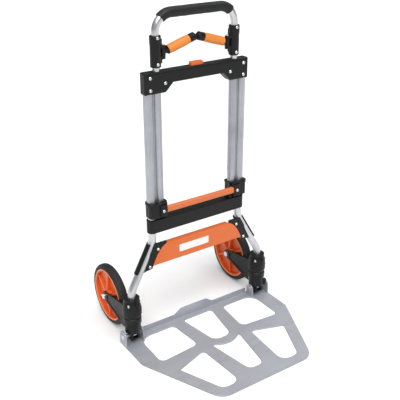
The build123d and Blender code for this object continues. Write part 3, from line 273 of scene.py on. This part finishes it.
# ---------------------------------------------------------------- finer meshes
def mesh_piece(name, vertices, faces, slot, body, *replaced):
    """A smooth mesh with its finish, riding on a body in place of the CAD nodes named."""
    mesh = bpy.data.meshes.new(name)
    mesh.from_pydata(vertices, [], faces)
    mesh.validate()
    piece = bpy.data.objects.new(name, mesh)
    bpy.context.scene.collection.objects.link(piece)
    outward = bmesh.new()
    outward.from_mesh(mesh)
    bmesh.ops.recalc_face_normals(outward, faces=outward.faces)
    outward.to_mesh(mesh)
    outward.free()
    shade_smooth(piece)
    dress(piece, slot)
    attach(piece, body)
    if replaced:
        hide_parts(*replaced)
    return piece


def ring_faces(rings, points, closed):
    """Quads between neighbouring rings of points; closed joins the last ring to the first."""
    spans = rings if closed else rings - 1
    quads = []
    for i in range(spans):
        for j in range(points):
            a, b = i * points, (i + 1) % rings * points
            k = (j + 1) % points
            quads.append((a + j, a + k, b + k, b + j))
    return quads


def turned(profile, centre, axis, across, steps, radius_at=None):
    """Vertices and faces of a closed profile of (along, radius) points turned round an axis."""
    up = axis.cross(across)
    vertices = []
    for i in range(steps):
        angle = 2 * math.pi * i / steps
        spoke = across * math.cos(angle) + up * math.sin(angle)
        for along, radius in profile:
            reach = radius if radius_at is None else radius_at(along, radius, i)
            vertices.append(centre + axis * along + spoke * reach)
    return vertices, ring_faces(steps, len(profile), True)


def arc(centre, radius, start, end, count):
    """Points of a circular arc in a profile, angles in degrees."""
    return [(centre[0] + radius * math.cos(math.radians(start + (end - start) * i / (count - 1))),
             centre[1] + radius * math.sin(math.radians(start + (end - start) * i / (count - 1))))
            for i in range(count)]


# ---------------------------------------------------------------- wheels
RIM_RADIUS = 72 * MM
RIM_INSET = 1.2 * MM  # the rim's face, behind the tyre's sidewall
BEAD_RADIUS = 1.5 * MM
TYRE_STEPS = 192
BEAD_STEPS = 120
LUG_EVERY = 8
LUG_DEPTH = 0.5 * MM
AXLE = Vector((1, 0, 0))
BACK = Vector((0, 1, 0))


def tyre_profile(half, outer, inner):
    """A slim solid tyre: rounded tread with two thin grooves, a crease ring on each sidewall."""
    groove, depth = 0.7 * MM, 1.0 * MM
    right = [
        (0.0, outer),
        (half * 0.30 - groove, outer - 0.05 * MM),
        (half * 0.30, outer - depth),
        (half * 0.30 + groove, outer - 0.10 * MM),
        (half * 0.52, outer - 0.9 * MM),
        (half * 0.72, outer - 2.2 * MM),
        (half * 0.88, outer - 4.4 * MM),
        (half * 0.97, outer - 7.0 * MM),
        (half, outer - 8.6 * MM),
        (half * 0.955, outer - 9.1 * MM),
        (half * 0.95, outer - 9.8 * MM),
        (half * 0.99, outer - 10.4 * MM),
        (half * 0.96, outer - 12.0 * MM),
        (half - RIM_INSET, inner),
    ]
    left = [(-along, radius) for along, radius in reversed(right[1:])]
    return right + left


def tyre(side):
    low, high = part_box(f"tyre_{side}")
    centre = (low + high) / 2
    half, outer = (high.x - low.x) / 2, (high.z - low.z) / 2

    def lugged(along, radius, step):
        """Short shoulder nicks, evenly spaced, on the part of the tread near its edge."""
        on_shoulder = 0.7 * half < abs(along) < 0.93 * half
        return radius - LUG_DEPTH if on_shoulder and step % LUG_EVERY == 0 else radius

    profile = tyre_profile(half, outer, RIM_RADIUS)
    vertices, faces = turned(profile, centre, AXLE, BACK, TYRE_STEPS, lugged)
    mesh_piece(f"tyre_mesh_{side}", vertices, faces, "tyre", f"wheel_{side}", f"tyre_{side}")


def rim_bead(side):
    """The rounded bead round each face of the rim, the ring that shows inside the tyre; its paler
    orange is a painted highlight.
    """
    low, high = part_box(f"rim_{side}")
    centre = (low + high) / 2
    tyre_low, tyre_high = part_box(f"tyre_{side}")
    face = (tyre_high.x - tyre_low.x) / 2 - RIM_INSET
    for end, way in (("outer", sign(side)), ("inner", -sign(side))):
        middle = (way * (face - 0.3 * MM), RIM_RADIUS - 1.6 * MM)
        profile = arc(middle, BEAD_RADIUS, 0, 330, 12)
        vertices, faces = turned(profile, centre, AXLE, BACK, BEAD_STEPS)
        bead = mesh_piece(f"rim_bead_{end}_{side}", vertices, faces, "rim", f"wheel_{side}")
        # The beads get the paler orange finish, a painted highlight on the rim's edge.
        dress(bead, "rim_edge_painted_highlight")


for side in SIDES:
    tyre(side)
    rim_bead(side)


# ---------------------------------------------------------------- foam handle
HANDLE_TUBE_RADIUS = 9 * MM
HANDLE_BEND = 42.5 * MM
FOAM_WRAP = 42.0  # degrees of each bend under the foam
BEND_STEPS = 14
STRAIGHT_STEPS = 40
FOAM_POINTS = 40
END_STEPS = 5
END_DEPTH = 1.5 * MM
FOAM_SWELL = 0.35 * MM


def handle_line():
    """Points and directions along the handle's top bow, from one end of the foam to the other."""
    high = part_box("handle_tube")[1]
    reach = high.x - HANDLE_TUBE_RADIUS - HANDLE_BEND
    top = high.z - HANDLE_TUBE_RADIUS

    def on_bend(middle, degrees):
        angle = math.radians(degrees)
        place = Vector((middle + HANDLE_BEND * math.cos(angle), 0,
                        top - HANDLE_BEND + HANDLE_BEND * math.sin(angle)))
        return place, Vector((math.sin(angle), 0, -math.cos(angle)))

    line = [on_bend(-reach, 90 + FOAM_WRAP * (BEND_STEPS - i) / BEND_STEPS)
            for i in range(BEND_STEPS + 1)]
    line += [(Vector((-reach + 2 * reach * i / STRAIGHT_STEPS, 0, top)), Vector((1, 0, 0)))
             for i in range(1, STRAIGHT_STEPS)]
    line += [on_bend(reach, 90 - FOAM_WRAP * i / BEND_STEPS) for i in range(BEND_STEPS + 1)]
    return line


def foam_handle():
    """The foam sleeve: a slightly uneven tube along the bow, rounded over at both ends."""
    low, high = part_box("foam_grip")
    radius = (high.y - low.y) / 2
    inside = HANDLE_TUBE_RADIUS + 0.1 * MM
    line = handle_line()
    vertices = []

    def ring(place, way, size, lumpy):
        up = way.cross(BACK)
        for j in range(FOAM_POINTS):
            angle = 2 * math.pi * j / FOAM_POINTS
            out = BACK * math.cos(angle) + up * math.sin(angle)
            spot = place + out * size
            swell = noise.noise(spot * 55.0) * FOAM_SWELL if lumpy else 0.0
            vertices.append(spot + out * swell)

    def end_ring(place, way, inward, step):
        """One ring of a rounded end, whose steps run from the bore out to the full size."""
        turn = math.pi / 2 * step / END_STEPS
        size = inside + (radius - inside) * math.sin(turn)
        ring(place + inward * (1 - math.cos(turn)) * END_DEPTH, way, size, False)

    (first, first_way), (last, last_way) = line[0], line[-1]
    for step in range(END_STEPS):
        end_ring(first, first_way, first_way, step)
    for place, way in line[1:-1]:
        ring(place, way, radius - FOAM_SWELL, True)
    for step in reversed(range(END_STEPS)):
        end_ring(last, last_way, -last_way, step)
    for place, way in reversed(line):
        ring(place, way, inside, False)
    rings = len(vertices) // FOAM_POINTS
    piece = mesh_piece("foam_handle", vertices, ring_faces(rings, FOAM_POINTS, True), "foam",
                       "handle", "foam_grip")


foam_handle()


# ---------------------------------------------------------------- swing arm grips
ARM_RISE = math.radians(17.0)
ARM_BORE = 5.1 * MM
ARM_STEPS = 30
ARM_POINTS = 72


def arm_grip(side):
    """The rubber sleeve on a swing arm: slightly crowned, ringed at both ends."""
    low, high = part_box(f"arm_grip_{side}")
    centre = (low + high) / 2
    inward = Vector((-sign(side) * math.cos(ARM_RISE), 0, math.sin(ARM_RISE)))
    radius = (high.y - low.y) / 2
    length = ((high.x - low.x) - 2 * radius * math.sin(ARM_RISE)) / math.cos(ARM_RISE)
    half = length / 2
    shoulder = radius - 1.6 * MM
    outer = []
    for i in range(ARM_STEPS + 1):
        along = -half + 0.6 * MM + (length - 1.2 * MM) * i / ARM_STEPS
        share = along / half
        crown = radius - 0.75 * MM * share ** 4
        ringed = 0.45 * MM if abs(abs(along) - (half - 5 * MM)) < 1.2 * MM else 0.0
        outer.append((along, crown - ringed))
    profile = [(-half, ARM_BORE), (-half, shoulder)] + outer + [(half, shoulder), (half, ARM_BORE)]
    vertices, faces = turned(profile, centre, inward, BACK, ARM_POINTS)
    mesh_piece(f"arm_grip_mesh_{side}", vertices, faces, "grip_orange", f"arm_{side}",
               f"arm_grip_{side}")


for side in SIDES:
    arm_grip(side)


# ---------------------------------------------------------------- camera, light and floor
CAMERA_LENS = 61.74
CAMERA_SENSOR = 36.0
CAMERA_YAW = math.radians(-34.2)
CAMERA_PITCH = math.radians(25.22)
CAMERA_TARGET = Vector((0, 0, 0.5))
CAMERA_RIGHT = 9.5 * MM
CAMERA_UP = -131.56 * MM
CAMERA_DISTANCE = 1.70264


def camera_matrix(yaw, pitch, target, right_shift, up_shift, distance):
    """A camera turned by yaw and pitch towards the target, then shifted in its own picture."""
    level = math.cos(pitch)
    back = Vector((math.sin(yaw) * level, -math.cos(yaw) * level, math.sin(pitch)))
    right = Vector((math.cos(yaw), math.sin(yaw), 0))
    up = back.cross(right)
    place = target + right * right_shift + up * up_shift + back * distance
    turn = Matrix((right, up, back)).transposed().to_4x4()
    return Matrix.Translation(place) @ turn


camera_data = bpy.data.cameras.new("camera")
camera_data.lens = CAMERA_LENS
camera_data.sensor_width = CAMERA_SENSOR
camera_data.clip_end = 100.0
camera = bpy.data.objects.new("camera", camera_data)
bpy.context.scene.collection.objects.link(camera)
camera.matrix_world = camera_matrix(CAMERA_YAW, CAMERA_PITCH, CAMERA_TARGET, CAMERA_RIGHT,
                                    CAMERA_UP, CAMERA_DISTANCE)
bpy.context.scene.camera = camera


def soft_sun(name, direction, strength, spread):
    """A distant lamp with a wide disc: even light over the floor, and soft shadows."""
    data = bpy.data.lights.new(name, "SUN")
    data.energy = strength
    data.angle = math.radians(spread)
    lamp = bpy.data.objects.new(name, data)
    bpy.context.scene.collection.objects.link(lamp)
    lamp.rotation_euler = Vector(direction).to_track_quat("Z", "Y").to_euler()


soft_sun("key_light", (-0.42, -0.62, 1.0), 2.35, 38)
soft_sun("top_light", (0.1, -0.25, 1.0), 1.35, 50)
soft_sun("rim_light", (0.8, 0.25, 0.75), 0.35, 40)


def studio_world():
    """A white room, brighter overhead and a little darker low at the sides."""
    world = bpy.data.worlds.new("studio")
    bpy.context.scene.world = world
    world.use_nodes = True
    tree = world.node_tree
    place = tree.nodes.new("ShaderNodeTexCoord")
    split = tree.nodes.new("ShaderNodeSeparateXYZ")
    lift = tree.nodes.new("ShaderNodeMapRange")
    lift.inputs["From Min"].default_value = -0.1
    lift.inputs["From Max"].default_value = 1.0
    lift.inputs["To Min"].default_value = 0.12
    lift.inputs["To Max"].default_value = 0.50
    tree.links.new(place.outputs["Generated"], split.inputs[0])
    tree.links.new(split.outputs["Z"], lift.inputs["Value"])
    tree.links.new(lift.outputs[0], tree.nodes["Background"].inputs["Strength"])
    tree.nodes["Background"].inputs["Color"].default_value = (1.0, 1.0, 1.0, 1.0)


studio_world()
bpy.context.scene.view_settings.view_transform = "Standard"

FLOOR_REACH = 30.0
FLOOR_DROP = 0.5 * MM
floor_mesh = bpy.data.meshes.new("floor")
corners = [(x * FLOOR_REACH, y * FLOOR_REACH, 0) for x, y in ((-1, -1), (1, -1), (1, 1), (-1, 1))]
floor_mesh.from_pydata(corners, [], [(0, 1, 2, 3)])
floor = bpy.data.objects.new("floor", floor_mesh)
bpy.context.scene.collection.objects.link(floor)
floor.location.z = -FLOOR_DROP
floor_mesh.materials.append(floor_finish())
